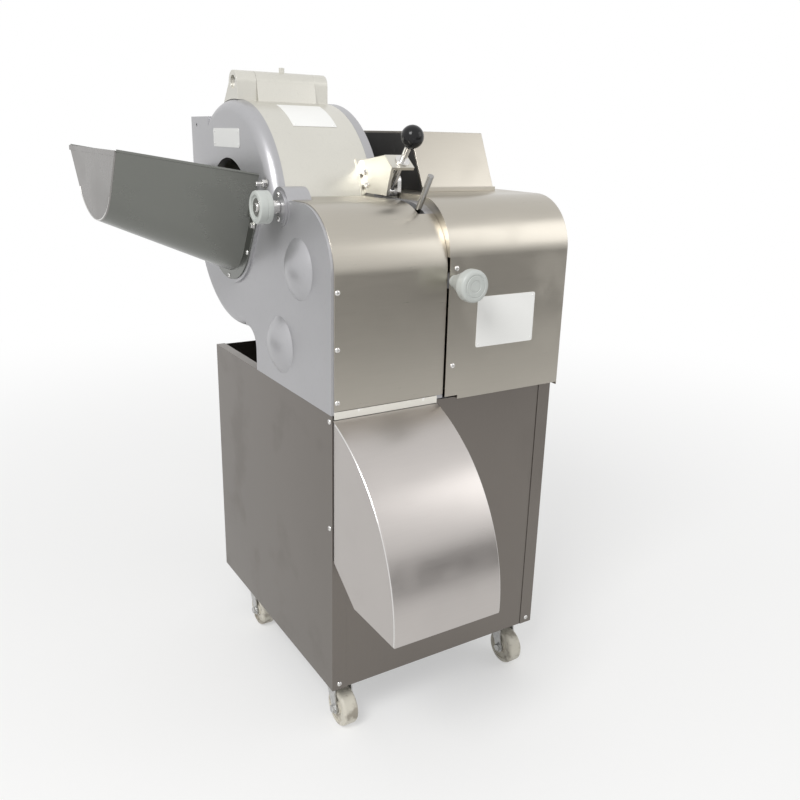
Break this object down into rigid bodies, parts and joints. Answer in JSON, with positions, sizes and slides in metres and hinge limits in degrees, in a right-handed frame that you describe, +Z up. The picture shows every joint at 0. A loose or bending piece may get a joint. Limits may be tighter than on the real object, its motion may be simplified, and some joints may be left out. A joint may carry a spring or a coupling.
{
  "type": "industrial vegetable dicer",
  "caption": "Wheeled stainless vegetable dicer with a round-floored feed trough, hinged drum door, geared disc and cross-cut knives, motor cover and curved discharge chute.",
  "frame": {"origin": "on the floor under the middle of the cabinet's footprint", "axes": "+X from the feed side to the motor side, +Y from the discharge front to the back, +Z up"},
  "size_m": [0.7848, 0.897, 1.251],
  "materials": {
    "sheet": "brushed",
    "casting": "satin",
    "bright": "polished",
    "dark_iron": "satin",
    "motor_paint": "satin",
    "belt": "matt",
    "pale": "satin",
    "knob": "satin",
    "ball": "gloss",
    "nylon": "satin",
    "zinc": "plated",
    "gland": "satin"
  },
  "bodies": {
    "machine": {"base_frame": "dark_iron", "cabinet_left_panel": "sheet", "cabinet_right_panel": "sheet", "cabinet_front_panel": "sheet", "cabinet_back_panel": "sheet", "panel_screws": "bright", "motor_plate": "dark_iron", "motor_body": "motor_paint", "drive_belts": "belt", "left_side_plate": "casting", "right_side_wall": "casting", "drum_shell": "bright", "ledge_strip": "sheet", "hinge_pin": "bright", "knife_cover": "sheet", "cover_flange": "pale", "motor_cover": "sheet", "hood": "sheet", "discharge_chute": "sheet", "feed_trough": "sheet", "trough_mouth": "sheet", "slicing_knife": "bright", "rear_guard": "sheet", "bearing_housing": "casting", "bearings": "bright", "bearing_caps": "casting", "idler_axle": "bright", "latch_post": "bright", "cable_gland": "gland", "caster_plates": "zinc"},
    "drum_door": {"door": "bright", "latch_bracket": "pale"},
    "clamp": {"clamp_screw": "bright", "ball_knob": "ball"},
    "gate": {"thickness_gate": "bright", "lock_knob": "knob"},
    "cover_knob": {"front_knob": "knob"},
    "comb": {"comb_lever": "bright", "comb_plate": "sheet"},
    "paddle_wheel": {"impeller": "bright", "main_shaft": "bright", "main_pulley": "dark_iron", "main_gear": "dark_iron"},
    "idler": {"idler_gear": "dark_iron"},
    "disc_knives": {"disc_shaft": "bright", "disc_blades": "bright", "disc_gear": "dark_iron"},
    "cross_cutter": {"cross_shaft": "bright", "cross_knives": "bright", "cross_gear": "dark_iron"},
    "motor_rotor": {"motor_shaft": "bright", "motor_pulley": "dark_iron"},
    "swivel_fl": {"caster_fork_fl": "zinc"},
    "wheel_fl": {"caster_wheel_fl": "nylon"},
    "swivel_fr": {"caster_fork_fr": "zinc"},
    "wheel_fr": {"caster_wheel_fr": "nylon"},
    "swivel_rl": {"caster_fork_rl": "zinc"},
    "wheel_rl": {"caster_wheel_rl": "nylon"},
    "swivel_rr": {"caster_fork_rr": "zinc"},
    "wheel_rr": {"caster_wheel_rr": "nylon"}
  },
  "joints": [
    {"name": "door_hinge", "type": "hinge", "parent": "machine", "child": "drum_door", "pos_m": [-0.1275, 0.1655, 1.22], "axis": [-1, 0, 0], "range_deg": [0, 100]},
    {"name": "clamp_turn", "type": "hinge", "parent": "drum_door", "child": "clamp", "pos_m": [-0.024, -0.0945, 1.026], "axis": [0, -0.598, 0.8015], "continuous": true},
    {"name": "gate_turn", "type": "hinge", "parent": "machine", "child": "gate", "pos_m": [-0.1475, -0.0895, 1.001], "axis": [-1, 0, 0], "range_deg": [0, 8]},
    {"name": "cover_knob_turn", "type": "hinge", "parent": "machine", "child": "cover_knob", "pos_m": [-0.0055, -0.2875, 0.883], "axis": [0, -1, 0], "continuous": true},
    {"name": "comb_swing", "type": "hinge", "parent": "machine", "child": "comb", "pos_m": [-0.0435, -0.15983, 0.89893], "axis": [-1, 0, 0], "range_deg": [0, 20]},
    {"name": "paddle_spin", "type": "hinge", "parent": "machine", "child": "paddle_wheel", "pos_m": [0.0025, 0.1675, 0.962], "axis": [1, 0, 0], "continuous": true},
    {"name": "idler_spin", "type": "hinge", "parent": "machine", "child": "idler", "pos_m": [0.0525, 0.06552, 0.83229], "axis": [1, 0, 0], "continuous": true},
    {"name": "disc_spin", "type": "hinge", "parent": "machine", "child": "disc_knives", "pos_m": [-0.0975, -0.15983, 0.89893], "axis": [1, 0, 0], "continuous": true},
    {"name": "cross_spin", "type": "hinge", "parent": "machine", "child": "cross_cutter", "pos_m": [-0.0975, -0.0745, 0.745], "axis": [1, 0, 0], "continuous": true},
    {"name": "motor_spin", "type": "hinge", "parent": "machine", "child": "motor_rotor", "pos_m": [0.0925, 0.0925, 0.253], "axis": [1, 0, 0], "continuous": true},
    {"name": "caster_swivel_fl", "type": "hinge", "parent": "machine", "child": "swivel_fl", "pos_m": [-0.2075, -0.2345, 0.095], "axis": [0, 0, 1], "continuous": true},
    {"name": "wheel_spin_fl", "type": "hinge", "parent": "swivel_fl", "child": "wheel_fl", "pos_m": [-0.2075, -0.2565, 0.0375], "axis": [1, 0, 0], "continuous": true},
    {"name": "caster_swivel_fr", "type": "hinge", "parent": "machine", "child": "swivel_fr", "pos_m": [0.2075, -0.2345, 0.095], "axis": [0, 0, 1], "continuous": true},
    {"name": "wheel_spin_fr", "type": "hinge", "parent": "swivel_fr", "child": "wheel_fr", "pos_m": [0.2075, -0.2565, 0.0375], "axis": [1, 0, 0], "continuous": true},
    {"name": "caster_swivel_rl", "type": "hinge", "parent": "machine", "child": "swivel_rl", "pos_m": [-0.2075, 0.1745, 0.095], "axis": [0, 0, 1], "continuous": true},
    {"name": "wheel_spin_rl", "type": "hinge", "parent": "swivel_rl", "child": "wheel_rl", "pos_m": [-0.2075, 0.1525, 0.0375], "axis": [1, 0, 0], "continuous": true},
    {"name": "caster_swivel_rr", "type": "hinge", "parent": "machine", "child": "swivel_rr", "pos_m": [0.2075, 0.1745, 0.095], "axis": [0, 0, 1], "continuous": true},
    {"name": "wheel_spin_rr", "type": "hinge", "parent": "swivel_rr", "child": "wheel_rr", "pos_m": [0.2075, 0.1525, 0.0375], "axis": [1, 0, 0], "continuous": true}
  ],
  "couplings": [
    {"joint": "idler_spin", "follows": "paddle_spin", "ratio": -1.1429},
    {"joint": "cross_spin", "follows": "paddle_spin", "ratio": 1},
    {"joint": "disc_spin", "follows": "paddle_spin", "ratio": -1},
    {"joint": "motor_spin", "follows": "paddle_spin", "ratio": 2.8889}
  ]
}
